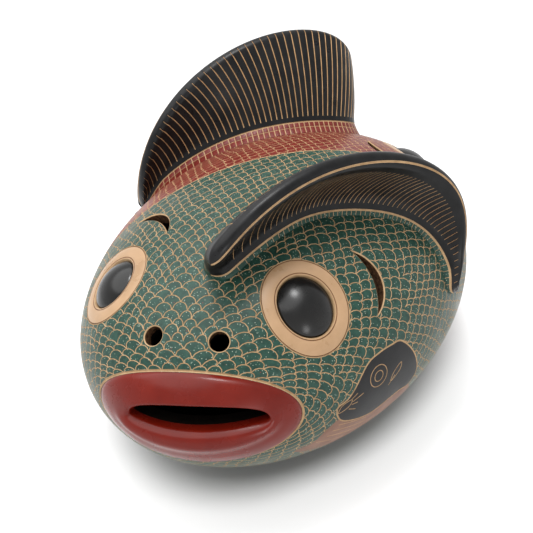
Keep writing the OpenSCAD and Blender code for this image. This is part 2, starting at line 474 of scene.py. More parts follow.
SCALE_ROUNDNESS = 0.8
SCALE_SPREAD = 0.45
SCALE_RISES = (0.46, 0.82)
SCALE_ROWS = 90
OUTLINE_POINTS = 400
ROWS_TO_FAR = 12.0
LAST_PHI = 2.6
FEWEST_IN_ROW = 8
FIRST_WIDTH = 1.05
UNEVEN_RISE = 0.16
UNEVEN_LEAN = 0.14
CLOSEST_GAP = 0.64
WIDEST_SHARE = 0.12
SHORTEST_RUN = 0.5


def angle_away(theta, phi, distance, step=0.01):
    """How far the angle away from the mouth turns over a distance on the egg."""
    return distance * step / np.linalg.norm(polar_point(theta, phi + step) - polar_point(theta, phi))


def neighbours(front):
    """Each point of a front with the one after it, once round the mouth."""
    return zip(front, front[1:] + [(front[0][0] + 2 * math.pi, front[0][1])])


def grow_scales(fish):
    """Rows of overlapping scales that grow away from the mouth, each between two of the row before."""
    outline = mouth_onto_egg(lips_outline(OUTLINE_POINTS, BOLD / 2))
    theta, phi = polar_of(outline)
    order = np.argsort(theta)
    theta, phi = theta[order], phi[order]
    length = np.concatenate([[0], np.cumsum(np.linalg.norm(np.diff(outline[order], axis=0), axis=1))])
    near_width, far_width = fish.scale_widths
    near_rise, far_rise = SCALE_RISES
    count = round(length[-1] / (near_width * FIRST_WIDTH))
    start = np.linspace(0, 1, count, endpoint=False) * length[-1]
    front = list(zip(np.interp(start, length, theta).tolist(), np.interp(start, length, phi).tolist()))
    wave = np.linspace(0, math.pi, fish.arc_steps + 1)
    along = SCALE_SPREAD * wave / math.pi + (1 - SCALE_SPREAD) * (1 - np.cos(wave)) / 2
    lift = np.abs(np.sin(wave)) ** SCALE_ROUNDNESS
    arcs = []
    for row in range(SCALE_ROWS):
        if len(front) < FEWEST_IN_ROW:
            break
        near = math.exp(-row / ROWS_TO_FAR)
        width = far_width + (near_width - far_width) * near
        front = spread(front, width)
        fresh = []
        for (t0, p0), (t1, p1) in neighbours(front):
            middle_t = (t0 + t1) / 2
            middle_p = (p0 + p1) / 2
            rise = width * (far_rise + (near_rise - far_rise) * near)
            rise *= rng.uniform(1 - UNEVEN_RISE, 1 + UNEVEN_RISE)
            skew = rng.uniform(-UNEVEN_LEAN, UNEVEN_LEAN) * (t1 - t0)
            out = angle_away(middle_t, middle_p, rise)
            arcs.append((t0 + (t1 - t0) * along + skew * lift, p0 + (p1 - p0) * along + out * lift))
            fresh.append((middle_t + skew, middle_p + out))
        front = [f for f in fresh if f[1] < LAST_PHI]
    return polar_point(np.array([a[0] for a in arcs]), np.array([a[1] for a in arcs]))


def spread(front, width):
    """Drops or adds points along a front, so that its gaps stay near one scale wide."""
    kept = [front[0]]
    for t, p in front[1:]:
        gap = np.linalg.norm(polar_point(t, p) - polar_point(*kept[-1]))
        if gap > width * CLOSEST_GAP:
            kept.append((t, p))
    out = []
    for (t0, p0), (t1, p1) in neighbours(kept):
        out.append((t0, p0))
        gap = np.linalg.norm(polar_point(t0, p0) - polar_point(t1, p1))
        parts = max(1, round(gap / width - WIDEST_SHARE))
        for k in range(1, parts):
            out.append((t0 + (t1 - t0) * k / parts, p0 + (p1 - p0) * k / parts))
    return out


def clip_arcs(arcs, clear):
    """The runs of each arc where clear is above nothing, cut exactly where it crosses."""
    runs = []
    for arc, c in zip(arcs, clear):
        if (c > 0).all():
            runs.append(arc)
            continue
        run = []
        for k in range(len(arc)):
            if k and (c[k - 1] > 0) != (c[k] > 0):
                cut = arc[k - 1] + (arc[k] - arc[k - 1]) * (c[k - 1] / (c[k - 1] - c[k]))
                run.append(cut)
                if c[k] <= 0:
                    runs.append(np.array(run))
                    run = []
            if c[k] > 0:
                run.append(arc[k])
        if len(run) > 1:
            runs.append(np.array(run))
    return [r for r in runs if len(r) > 1 and np.linalg.norm(np.diff(r, axis=0), axis=1).sum() > SHORTEST_RUN]


# ---- the incised skin
class Sheet:
    """Points and edges on the opened-out egg, ready to be filled with triangles."""

    def __init__(self):
        self.points = []
        self.edges = []
        self.size = 0

    def add(self, points, closed=False, linked=True):
        n = len(points)
        first = self.size
        self.points.append(points)
        self.size += n
        if linked:
            index = np.arange(first, first + n)
            pairs = np.stack([index, np.roll(index, -1)], -1)
            self.edges.append(pairs if closed else pairs[:-1])
        return first

    def fill(self, semi=SEMI):
        p = np.concatenate(self.points)
        q = to_map(p, semi)
        edges = np.concatenate(self.edges)
        verts, _, faces, origin, _, _ = delaunay_2d_cdt(
            [Vector(v) for v in q.tolist()], edges.tolist(), [], 0, 1e-8, True)
        q = np.array([v[:] for v in verts])
        new_of = {}
        for new, olds in enumerate(origin):
            for old in olds:
                new_of[old] = new
        return from_map(q, semi), np.array(faces), new_of


# shares of a line's half width: inside the first, other edges stop; inside the second,
# faces are bare clay
COVERED = 0.92
ON_LINE = 0.94
CENTRE_STEP = 0.16


class Grooves:
    """The scratched lines: their centres, and the edges of the V that each one cuts."""

    def __init__(self):
        self.lines = []

    def cut(self, points, width, closed=False):
        self.lines.append((onto_egg(np.asarray(points)), width, closed))

    def add_to(self, sheet):
        """Adds every centre to the sheet, and the edges where they don't run inside another groove."""
        edges = Sheet()
        for p, width, closed in self.lines:
            sheet.add(p, closed)
            if closed:
                ahead, behind = np.roll(p, -1, 0), np.roll(p, 1, 0)
            else:
                start = p[0] + unit(p[0] - p[1]) * width / 2
                stop = p[-1] + unit(p[-1] - p[-2]) * width / 2
                ahead, behind = np.concatenate([p[1:], [stop]]), np.concatenate([[start], p[:-1]])
            side = unit(np.cross(egg_normal(p), unit(ahead - behind))) * width / 2
            if closed:
                edges.add(p + side, True)
                edges.add(p - side, True)
            else:
                edges.add(np.concatenate([[start], p + side, [stop], (p - side)[::-1]]), True)
        self.trees = {width: self.centres(width) for width in {line[1] for line in self.lines}}
        points, pairs = onto_egg(np.concatenate(edges.points)), np.concatenate(edges.edges)
        covered = self.nearest(points) < COVERED
        pairs = pairs[~covered[pairs].all(1)]
        used = np.unique(pairs)
        first = sheet.add(points[used], linked=False)
        sheet.edges.append(first + np.searchsorted(used, pairs))

    def centres(self, width):
        """A search tree of the centre lines of one width."""
        lines = [resample(p, CENTRE_STEP, closed) for p, own, closed in self.lines if own == width]
        return kd_tree(np.concatenate(lines))

    def nearness(self, p):
        """For each width, how far each point is from its nearest centre line, in half widths."""
        return {width: np.array([tree.find(v)[2] for v in p.tolist()]) / (width / 2)
                for width, tree in self.trees.items()}

    def nearest(self, p):
        return np.min(list(self.nearness(p).values()), axis=0)

    def depth(self, p):
        """How deep each point lies in the grooves."""
        depths = [GROOVE_DEPTHS[width] * np.maximum(0, 1 - near) for width, near in self.nearness(p).items()]
        return np.max(depths, axis=0)


def ball_points(count):
    """Points spread evenly over the egg."""
    k = np.arange(count) + 0.5
    z = 1 - 2 * k / count
    turn = k * math.pi * (3 - math.sqrt(5))
    r = np.sqrt(1 - z * z)
    return np.stack([r * np.cos(turn), r * np.sin(turn), z], -1) * SEMI


BORDER_POINTS = 200
BORDER_STEP = 1.5


def plane_line():
    """The line where the plane between the two fish cuts the egg, down to the foot line on both sides."""
    along = unit([1, SIDE_SLOPE, 0])
    start = np.array([0, SIDE_SHIFT, 0.0])
    s, w = start / SEMI, along / SEMI
    alpha, beta, gamma = w @ w, s @ w, s @ s
    middle = start - along * beta / alpha
    room = 1 - (gamma - beta * beta / alpha)
    reach, height = math.sqrt(room / alpha), SEMI[2] * math.sqrt(room)
    low = math.asin(SEMI[2] * math.sin(math.radians(FOOT_LINE_LAT)) / height)
    t = np.linspace(low, math.pi - low, BORDER_POINTS)[:, None]
    line = middle + along * reach * np.cos(t) + np.array([0, 0, height]) * np.sin(t)
    return resample(line, BORDER_STEP)


def level_ring(z, count, depth=0.0):
    """A ring round the egg shrunk by a depth, at one height."""
    semi = SEMI - depth
    flat = circle(math.sqrt(1 - (z / semi[2]) ** 2), count) * semi[:2]
    return np.column_stack([flat, np.full(count, z)])


def straight(start, stop, count=8):
    t = np.linspace(0, 1, count)
    flat = np.outer(1 - t, start) + np.outer(t, stop)
    return on_egg(flat[:, 0], flat[:, 1])


def small_fish_lines():
    """What is scratched into the small painted fish and its belly: closed loops, then open lines."""
    eye = surface_frame(*SMALL_EYE)
    loops = [through(eye, circle(r, SMALL_EYE_POINTS)) for r in SMALL_EYE_RADII]
    loops += [smooth_loop(outline) for outline in (SMALL_GILL, SMALL_MOUTH)]
    return loops, [straight(*ends) for ends in FACE_LINES + BELLY_LINES]


# the last slot is painted shade: near black over the hollow's inside and the deepest band of each hole
SKIN_SLOTS = ["green_slip", "red_slip", "clay_line", "fish_grey",
              "belly_slip", "bare_clay", "raw_clay_and_shade", "inside_painted_shade"]
# the raw clay slot is unslipped clay made much darker than the foot's bare clay, as painted shade in the
# holes
GREEN_SLOT, RED_SLOT, LINE_SLOT, GREY_SLOT, BELLY_SLOT, BARE_SLOT, RAW_CLAY_AND_SHADE_SLOT, INSIDE_SHADE_SLOT = range(8)
HOLE_MARGIN = FINE / 2 + 0.09
FOOT_LINE_Z = SEMI[2] * math.sin(math.radians(FOOT_LINE_LAT))
FOOT_POINTS = 96
FOOT_LINE_POINTS = 120
SEAM_POINTS = 300
FILL_POINTS = 9000
FILL_GAP = 1.3
FILL_ABOVE_FOOT = 0.4


class Hole:
    """A hole of the skin: whose it is, what for, and its rim's first point and count in the sheet."""

    def __init__(self, fish, kind, loop, sheet):
        self.fish = fish
        self.kind = kind
        self.first = sheet.add(loop, closed=True)
        self.count = len(loop)
        self.zone = Zone(loop)


FOOT_CUT_SLOPE = 1.5
SIDE_REACH = -2


def clear_of(fish, arcs, zones):
    """How far each point of the scale arcs lies inside the fish's own side and clear of the zones."""
    flat = arcs.reshape(-1, 3)
    clear = np.minimum(fish.own_side(flat), (flat[:, 2] - FOOT_LINE_Z) * FOOT_CUT_SLOPE)
    near = clear > SIDE_REACH
    for zone, margin in zones:
        clear[near] = np.minimum(clear[near], zone.clearance(flat[near]) - margin)
    return clear.reshape(arcs.shape[:2])


def draw_fish(fish, sheet, grooves):
    """Adds all that is drawn or cut on one fish's side; gives its holes and its painted zones."""
    holes = [Hole(fish, kind, fish.world(loop), sheet) for kind, loop in hole_loops(fish)]
    lips, eyes, fin = edge_loops(fish)
    small = smooth_loop(SMALL_FISH)
    belly = smooth_loop(BELLY)
    for loop, width in [(lips, BOLD), (small, MEDIUM)] + [(eye, FINE) for eye in eyes]:
        grooves.cut(fish.world(loop), width, closed=True)
    sheet.add(fish.world(belly), closed=True)
    loops, lines = small_fish_lines()
    for loop in loops:
        grooves.cut(fish.world(loop), FINE, closed=True)
    for line in lines:
        grooves.cut(fish.world(line), FINE)
    zones = [(Zone(fish.world(loop)), 0.0) for loop in [lips, fin, small, belly, *eyes]]
    zones += [(hole.zone, HOLE_MARGIN) for hole in holes if hole.kind in ("nostril", "gill")]
    arcs = fish.world(grow_scales(fish))
    for run in clip_arcs(arcs, clear_of(fish, arcs, zones)):
        grooves.cut(run, FINE)
    return holes, [(GREY_SLOT, Zone(fish.world(small))), (BELLY_SLOT, Zone(fish.world(belly)))]


def build_skin():
    """The whole outer skin as one incised sheet, with its holes left open."""
    sheet, grooves = Sheet(), Grooves()
    sheet.add(level_ring(FOOT_Z, FOOT_POINTS), closed=True)
    seam = level_ring(SEAM_Z, SEAM_POINTS)
    sheet.add(seam, closed=True)
    grooves.cut(level_ring(FOOT_LINE_Z, FOOT_LINE_POINTS), MEDIUM, closed=True)
    grooves.cut(plane_line(), MEDIUM)
    holes, paints = [], []
    for fish in FISHES:
        own_holes, own_paints = draw_fish(fish, sheet, grooves)
        holes += own_holes
        paints += own_paints
    grooves.add_to(sheet)
    taken = kd_tree(np.concatenate(sheet.points))
    spare = [p for p in ball_points(FILL_POINTS)
             if p[2] > FOOT_Z + FILL_ABOVE_FOOT and taken.find(p)[2] > FILL_GAP]
    sheet.add(np.array(spare), linked=False)
    points, faces, new_of = sheet.fill()
    depth = grooves.depth(points)
    middle = points[faces].mean(1)
    slot = np.where(side_of(middle) > 0, GREEN_SLOT, RED_SLOT)
    for paint, zone in reversed(paints):
        slot[zone.inside(middle)] = paint
    slot[middle[:, 2] < FOOT_LINE_Z] = BARE_SLOT
    slot[grooves.nearest(middle) < ON_LINE] = LINE_SLOT
    keep = np.ones(len(faces), bool)
    for hole in holes:
        keep &= ~hole.zone.inside(middle)
    rims = [(hole.fish, hole.kind, [new_of[hole.first + k] for k in range(hole.count)]) for hole in holes]
    normals = egg_normal(points)
    above = Zone(seam).inside(middle)
    return points - normals * depth[:, None], normals, faces[keep], slot[keep], above[keep], rims


# ---- meshes
class Piece:
    """One separate piece of the guiro, gathered as rings of points and the faces between them."""

    def __init__(self, name, slots, nodes, finish, flip=False):
        self.name = name
        self.slots = slots
        self.nodes = nodes
        self.finish = finish
        self.flip = flip
        self.points = []
        self.size = 0
        self.faces = []
        self.face_slots = []

    def ring(self, points):
        points = np.atleast_2d(points)
        first = self.size
        self.points.append(points)
        self.size += len(points)
        return list(range(first, first + len(points)))

    def face(self, corners, slot=0):
        self.faces.append(tuple(int(c) for c in corners))
        self.face_slots.append(slot)

    def bridge(self, a, b, slot=0, outward=True):
        """Faces between two equal rings; outward when a, b go up the outside and in over the top."""
        for k in range(len(a)):
            j = (k + 1) % len(a)
            quad = (a[k], a[j], b[j], b[k])
            self.face(quad if outward else quad[::-1], slot)

    def loft(self, ring, levels, slot=0):
        """New rings, each joined to the one before, the first to a ring already made; gives the last."""
        for points in levels:
            beyond = self.ring(points)
            self.bridge(ring, beyond, slot)
            ring = beyond
        return ring

    def fan(self, ring, middle, slot=0, outward=True):
        for k in range(len(ring)):
            tri = (ring[k], ring[(k + 1) % len(ring)], middle[0])
            self.face(tri if outward else tri[::-1], slot)

    def zipper(self, a, b, slot=0, outward=True):
        """Triangles between two unequal rings round the Z axis."""
        points = np.concatenate(self.points)
        rings, angles = [], []
        for ring in (a, b):
            turn = np.arctan2(points[ring][:, 1], points[ring][:, 0])
            order = np.argsort(turn)
            rings.append([ring[k] for k in order] + [ring[order[0]]])
            angles.append(np.append(turn[order], turn[order[0]] + 2 * math.pi))
        (a, b), (turn_a, turn_b) = rings, angles
        i = j = 0
        while i < len(a) - 1 or j < len(b) - 1:
            if j == len(b) - 1 or (i < len(a) - 1 and turn_a[i + 1] <= turn_b[j + 1]):
                tri = (a[i], a[i + 1], b[j])
                i += 1
            else:
                tri = (a[i], b[j + 1], b[j])
                j += 1
            self.face(tri if outward else tri[::-1], slot)

    def smooth_skin(self, mesh, normals):
        """Gives the skin's faces the egg's own normals, and every line and inner wall its flat ones."""
        corner = np.empty(len(mesh.loops), int)
        mesh.loops.foreach_get("vertex_index", corner)
        flat = np.empty(len(mesh.polygons) * 3)
        mesh.polygons.foreach_get("normal", flat)
        sides = np.array([len(f) for f in self.faces])
        own = np.repeat(flat.reshape(-1, 3), sides, 0)
        given = np.zeros((self.size, 3))
        given[:len(normals)] = normals
        on_skin = np.array([max(f) < len(normals) for f in self.faces])
        smooth = np.repeat(on_skin & (np.array(self.face_slots) != LINE_SLOT), sides)
        mesh.normals_split_custom_set(np.where(smooth[:, None], given[corner], own).tolist())

    def build(self, materials, normals=None, crease=38):
        """The finished object, riding on the root body and standing for its CAD nodes."""
        points = np.concatenate(self.points)
        if self.flip:
            points = turned(points)
        points = (points + (0, 0, CENTRE_Z)) / 1000
        mesh = bpy.data.meshes.new(self.name)
        mesh.from_pydata(points.tolist(), [], self.faces)
        mesh.polygons.foreach_set("material_index", self.face_slots)
        mesh.shade_smooth()
        for slot in self.slots:
            mesh.materials.append(materials[slot])
        if normals is None:
            mesh.set_sharp_from_angle(angle=math.radians(crease))
        else:
            self.smooth_skin(mesh, normals)
        mesh.update()
        piece = bpy.data.objects.new(self.name, mesh)
        bpy.context.scene.collection.objects.link(piece)
        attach(piece, "root")
        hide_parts(*self.nodes)
        return piece


def keep_skin(piece, points, normals, faces, slots, rims):
    """Puts part of the skin into a piece; gives its normals and its rims with the piece's own numbers."""
    used = np.unique(faces)
    place = np.full(len(points), -1)
    place[used] = np.arange(len(used))
    piece.ring(points[used])
    for corners, slot in zip(place[faces].tolist(), slots.tolist()):
        piece.face(corners, slot)
    moved = [(fish, kind, place[rim].tolist()) for fish, kind, rim in rims]
    return normals[used], moved


def open_edges(faces):
    """The points on edges that only one face has."""
    edges = np.sort(np.concatenate([faces[:, [0, 1]], faces[:, [1, 2]], faces[:, [2, 0]]]), 1)
    pairs, count = np.unique(edges, axis=0, return_counts=True)
    return np.unique(pairs[count == 1])


WALL_ROUGHNESS = 0.22
BED_SHARES = (0, 0.33, 0.66, 1)
HOLE_DEPTHS = (HOLE_BEVEL, WALL * 0.35, WALL * 0.7)


def rough_ring(points, seed):
    """The ring with its points pushed in and out at random, as a hole's raw wall is."""
    wobble = np.random.default_rng(seed).uniform(-WALL_ROUGHNESS, WALL_ROUGHNESS, (len(points), 1))
    return points + unit(points - points.mean(0)) * wobble


def socket_walls(piece, fish, kind, rim, place, seed):
    """Closes one hole of the skin: through to the inside, or down to the floor of a bed or socket."""
    put = fish.world
    if kind == "eye":
        ring = piece.loft(rim, [put(place.at(place.oval(1), -SOCKET_DEPTH))], RAW_CLAY_AND_SHADE_SLOT)
        piece.fan(ring, piece.ring(put(place.at(np.zeros((1, 2)), -SOCKET_DEPTH))), RAW_CLAY_AND_SHADE_SLOT)
        return None
    if kind == "lips":
        outline, slot = lips_outline(LIPS_POINTS), slot_outline(LIPS_POINTS)
        levels = [put(mouth_onto_egg(outline * (1 - t) + slot * t, LIPS_BED)) for t in BED_SHARES]
        rim = piece.loft(rim, levels, RAW_CLAY_AND_SHADE_SLOT)
        inner = mouth_onto_egg(slot, WALL)
    else:
        flat = circle(NOSTRIL_R, NOSTRIL_POINTS) if kind == "nostril" else gill_outline()
        # painted shade: below the tan bevel the walls are coloured darker than the foot's bare clay, as shade
        # in the hole
        for depth in HOLE_DEPTHS:
            edge = through(place, flat, depth)
            if depth == HOLE_BEVEL:
                rim = piece.loft(rim, [put(edge)], LINE_SLOT)
            else:
                rim = piece.loft(rim, [put(rough_ring(edge, seed))], RAW_CLAY_AND_SHADE_SLOT)
        inner = through(place, flat, WALL)
    # painted shade: the band from here in to the inside is coloured near black
    return piece.loft(rim, [put(inner)], INSIDE_SHADE_SLOT), put(inner)


RING_COUNT = 160
STEP_GAP = 0.02
LAP_Z = SEAM_Z - LAP_H
INNER_SEMI = SEMI - WALL
INNER_POINTS = 1400
BOWL_LEVELS = 8
EDGE_REACH = 0.6


def edge_at(piece, height):
    """The open edge of a piece's skin at one height."""
    level = piece.points[0][:, 2]
    return [k for k in open_edges(np.array(piece.faces)) if abs(level[k] - height) < EDGE_REACH]


def build_shell(materials, skin, rims):
    """The upper part of the body: its skin, the walls of its holes, its inside painted near black as shade,
    and the lap's tongue.
    """
    shell = Piece("guiro_body_shell", SKIN_SLOTS, ["body_shell"], "green_slip")
    own_normals, rims = keep_skin(shell, *skin, rims)
    seam = edge_at(shell, SEAM_Z)
    inner_sheet = Sheet()
    inner_sheet.add(level_ring(LAP_Z, RING_COUNT, WALL), closed=True)
    seen = {"eye": 0, "nostril": 0, "gill": 0, "lips": 0}
    holes = []
    for number, (fish, kind, rim) in enumerate(rims):
        places = {"eye": fish.eyes, "nostril": fish.nostrils, "gill": fish.gills}.get(kind)
        place = places[seen[kind] % 2] if places else None
        seen[kind] += 1
        made = socket_walls(shell, fish, kind, rim, place, number)
        if made:
            holes.append((made[0], inner_sheet.add(made[1], closed=True), Zone(made[1])))
    spare = [p for p in ball_points(INNER_POINTS) * (INNER_SEMI / SEMI) if p[2] > LAP_Z + 1]
    inner_sheet.add(np.array(spare), linked=False)
    inner, inner_faces, new_of = inner_sheet.fill(INNER_SEMI)
    middle = inner[inner_faces].mean(1)
    keep = np.ones(len(inner_faces), bool)
    for _, _, zone in holes:
        keep &= ~zone.inside(middle)
    place = np.full(len(inner), -1)
    for ring, first, _ in holes:
        for k, index in enumerate(ring):
            place[new_of[first + k]] = index
    fresh = [k for k in np.unique(inner_faces[keep]) if place[k] < 0]
    place[fresh] = shell.ring(inner[fresh])
    for tri in inner_faces[keep]:
        shell.face(place[tri][::-1], INSIDE_SHADE_SLOT)
    lap_in = [int(place[new_of[k]]) for k in range(RING_COUNT)]
    step_out = shell.ring(level_ring(SEAM_Z, RING_COUNT, WALL / 2))
    step_down = shell.ring(level_ring(LAP_Z, RING_COUNT, WALL / 2))
    shell.zipper(seam, step_out, RAW_CLAY_AND_SHADE_SLOT, outward=False)
    shell.bridge(step_out, step_down, RAW_CLAY_AND_SHADE_SLOT, outward=False)
    shell.bridge(step_down, lap_in, RAW_CLAY_AND_SHADE_SLOT, outward=False)
    shell.build(materials, own_normals)


def build_bowl(materials, skin):
    """The lower part of the body: its skin, the step that takes the tongue, its inside painted near black as
    shade, and the foot.
    """
    bowl = Piece("guiro_base_bowl", SKIN_SLOTS, ["base_bowl"], "red_slip")
    own_normals, _ = keep_skin(bowl, *skin, [])
    seam, foot = edge_at(bowl, SEAM_Z), edge_at(bowl, FOOT_Z)
    step_z = LAP_Z - STEP_GAP
    step_out = bowl.ring(level_ring(SEAM_Z, RING_COUNT, WALL / 2 + STEP_GAP))
    step_down = bowl.ring(level_ring(step_z, RING_COUNT, WALL / 2 + STEP_GAP))
    bowl.zipper(seam, step_out, RAW_CLAY_AND_SHADE_SLOT)
    bowl.bridge(step_out, step_down, RAW_CLAY_AND_SHADE_SLOT)
    heights = np.linspace(step_z, -INNER_SEMI[2], BOWL_LEVELS, endpoint=False)
    ring = bowl.loft(step_down, [level_ring(z, RING_COUNT, WALL) for z in heights], INSIDE_SHADE_SLOT)
    bowl.fan(ring, bowl.ring((0, 0, -INNER_SEMI[2])), INSIDE_SHADE_SLOT)
    turn = np.arctan2(bowl.points[0][foot, 1], bowl.points[0][foot, 0])
    foot = [foot[k] for k in np.argsort(turn)]
    half_way = (0.5, 0.5, 1)
    under = bowl.ring(bowl.points[0][foot] * half_way)
    bowl.bridge(foot, under, BARE_SLOT, outward=False)
    bowl.fan(under, bowl.ring((0, 0, FOOT_Z)), BARE_SLOT, outward=False)
    bowl.build(materials, own_normals)


def build_body(materials):
    points, normals, faces, slots, above, rims = build_skin()
    build_shell(materials, (points, normals, faces[above], slots[above]), rims)
    build_bowl(materials, (points, normals, faces[~above], slots[~above]))


# ---- fins
RAY_COUNT = 52
RAY_FROM_TO = (0.035, 0.975)
END_STATIONS = ((0.30, 8), (0.27, 7))
RAY_DEPTH = 0.3
RAY_GAP = 2.4
CREST_HALF = 0.45
CREST_DEPTH = 0.35
FOOT_LINE_HALF = 0.3
FOOT_LINE_DEPTH = 0.25
SCALE_LINE_HALF = 0.12
SCALE_LINE_DEPTH = 0.15
FIN_LEVELS = 18
RIM_STEPS = 9
CREST_ANGLE = math.radians(62)
# the fewest millimetres per unit of a fin's run, so that rays don't spread where the fin comes to a point
SLOWEST = 40
LEAST_REACH = 0.3
THINNEST_HALF = 1.2
WIDEST_LINE_TURN = 0.6
# by side, +1 the one the fin leans to and -1 the outer one: half a ray's width, how far up the flare
# the black begins, and where the rays end
RAY_HALF = {1: 0.13, -1: 0.22}
FOOT_RISE = {1: 1.5, -1: 4.5}
RAY_TO = {1: 0.86, -1: 0.985}
FIN_SLOT, RAY_SLOT, FLARE_SLOT, EDGE_SLOT = range(4)


def fin_columns():
    """Stations along a fin, three for each ray: their places, shifts in half rays, and whether in a ray."""
    rays = np.linspace(*RAY_FROM_TO, RAY_COUNT)
    nose, tail = [(1 - np.cos(np.linspace(0, *stop))) / 2 for stop in END_STATIONS]
    stations = [(s, 0.0, False) for s in nose]
    for k, s in enumerate(rays):
        for shift in (-1.0, 0.0, 1.0):
            stations.append((s, shift, True))
        if k + 1 < len(rays):
            stations.append(((s + rays[k + 1]) / 2, 0.0, False))
    stations += [(1 - s, 0.0, False) for s in tail[::-1]]
    return [np.array(column) for column in zip(*stations)]


def level_heights(length, side):
    """Each rib's levels, as shares of its length: up the flare, over the line along it, then up the rays."""
    rise = np.minimum(FOOT_RISE[side], length * 0.3)
    middle = rise / 2
    low = [rise * 0, middle - SCALE_LINE_HALF, middle, middle + SCALE_LINE_HALF,
           rise - FOOT_LINE_HALF, rise, rise + FOOT_LINE_HALF]
    start = np.minimum(0.6, (rise + RAY_GAP) / length)
    high = [start + (RAY_TO[side] - start) * k / FIN_LEVELS for k in range(FIN_LEVELS + 1)]
    return [h / length for h in low] + high + [np.ones(len(length))]


SCALE_LEVEL = 2
LINE_LEVEL = 5
FIRST_RAY_LEVEL = 7
LAST_RAY_LEVEL = FIRST_RAY_LEVEL + FIN_LEVELS


class FinShape:
    """The rows of points that make up one fin: up one side, over the coil on its edge and down the other."""

    def __init__(self, fish):
        self.fish = fish
        self.base_s, self.shift, self.in_ray = fin_columns()
        self.ray_middle = self.in_ray & (self.shift == 0)

    def level(self, v, side, station=None):
        """The middles, outward ways, half thicknesses and ribs at one level, with the slant of the rays."""
        station = self.base_s if station is None else station
        at_nose, at_tail = self.fish.ray_slants
        slant = at_nose * station * (1 - station) ** 3 + at_tail * station ** 3 * (1 - station)
        slanted = station + slant * v
        r = fin_ribs(self.fish.base, self.fish.crest, slanted)
        v = np.broadcast_to(v, slanted.shape)[:, None]
        mid = r[0] * (1 - v) ** 2 + 2 * r[1] * v * (1 - v) + r[2] * v * v
        return mid, fin_across(r, v) * side, fin_half(r, slanted, v[:, 0]), r

    def spaced(self, v, side):
        """The same at stations moved so that each ray's edges stay as far apart all the way up."""
        ahead, behind = np.minimum(self.base_s + 0.002, 1), np.maximum(self.base_s - 0.002, 0)
        way = self.level(v, side, ahead)[0] - self.level(v, side, behind)[0]
        speed = np.linalg.norm(way, axis=1) / (ahead - behind)
        station = self.base_s + self.shift * RAY_HALF[side] / np.maximum(speed, SLOWEST)
        return self.level(v, side, np.clip(station, 0, 1))

    def side_rows(self, side):
        """Rows up one side, with the line along the flare and the rays cut into them."""
        rows = []
        foot, _, tip, _ = self.level(0.0, side)[3]
        for k, v in enumerate(level_heights(np.linalg.norm(tip - foot, axis=1), side)):
            mid, out, half, _ = self.spaced(v, side)
            inside = FIRST_RAY_LEVEL < k < LAST_RAY_LEVEL + (side < 0) * 2
            cut = RAY_DEPTH * (self.ray_middle & inside)
            if k == LINE_LEVEL:
                cut = cut + FOOT_LINE_DEPTH
            elif k < LINE_LEVEL - 1:
                cut = SCALE_LINE_DEPTH * np.maximum(self.ray_middle, side < 0 and k == SCALE_LEVEL)
            p = mid + out * (half - np.minimum(cut, half * 0.5))[:, None]
            rows.append(p if k else onto_egg(p) * (1 + FIN_GAP / SEMI[2]))
        return rows

    def rim_rows(self):
        """Rows round the coil from the side the fin leans to: up to its line, in it, and down beyond."""
        mid, out, half, ribs = self.spaced(1.0, 1)
        top = unit(ribs[2] - ribs[1])
        reach = FIN_RIM_H * np.maximum(LEAST_REACH, end_round(self.base_s))
        line_turn = np.arcsin(np.clip(CREST_HALF / np.maximum(half, THINNEST_HALF), 0, WIDEST_LINE_TURN))
        beyond = CREST_ANGLE + line_turn

        def row(turn, cut=0.0):
            across, up = (half - cut) * np.cos(turn), (reach - cut) * np.sin(turn)
            return mid + out * across[:, None] + top * up[:, None]

        near = [row((CREST_ANGLE - line_turn) * k / RIM_STEPS) for k in range(1, RIM_STEPS + 1)]
        far = [row(beyond + (math.pi - beyond) * k / RIM_STEPS,
                   RAY_DEPTH * self.ray_middle * (k >= RIM_STEPS - self.fish.rim_ray_steps))
               for k in range(RIM_STEPS)]
        return near + [row(CREST_ANGLE, CREST_DEPTH)] + far


def build_fin(fish, materials):
    """One fin with its coil, as a closed strip of rows with a cap at each end."""
    slots = ["fin_slip", "ray_line", f"{fish.name}_slip", "clay_line"]
    nodes = [f"{fish.name}_fish_fin", f"{fish.name}_fish_fin_rim"]
    piece = Piece(f"{fish.name}_fish_fin_with_rim", slots, nodes, "black_slip", fish.flip)
    shape = FinShape(fish)
    right, left = shape.side_rows(1), shape.side_rows(-1)
    rows = right + shape.rim_rows() + left[::-1]
    last = len(rows) - 1
    crest_row = len(right) + RIM_STEPS
    rim_rays = len(rows) - len(left) - fish.rim_ray_steps

    def slot_of(k, on_ray):
        """The slot of a face between one row and the next."""
        level = min(k, last - 1 - k)
        if k == last or level < LINE_LEVEL - 1:
            scale_line = k > crest_row and level in (SCALE_LEVEL - 1, SCALE_LEVEL)
            return EDGE_SLOT if k < last and (on_ray or scale_line) else FLARE_SLOT
        if level <= LINE_LEVEL or k in (crest_row - 1, crest_row):
            return EDGE_SLOT
        if on_ray and (FIRST_RAY_LEVEL <= level < LAST_RAY_LEVEL or rim_rays <= k <= last - LAST_RAY_LEVEL):
            return RAY_SLOT
        return FIN_SLOT

    columns = np.array([piece.ring(r) for r in rows]).T
    on_ray = shape.in_ray[:-1] & shape.in_ray[1:] & (shape.shift[:-1] < shape.shift[1:])
    for a, b, ray in zip(columns[:-1], columns[1:], on_ray):
        for k in range(last + 1):
            nxt = (k + 1) % (last + 1)
            piece.face((b[k], b[nxt], a[nxt], a[k]), slot_of(k, ray))
    for column, outward in ((columns[0], True), (columns[-1], False)):
        for k in range(last // 2):
            far = last - k
            corners = list(dict.fromkeys([column[k], column[k + 1], column[far - 1], column[far]]))
            if len(corners) > 2:
                slot = FLARE_SLOT if k < LINE_LEVEL - 1 else FIN_SLOT
                piece.face(corners if outward else corners[::-1], slot)
    return piece.build(materials, crease=30)


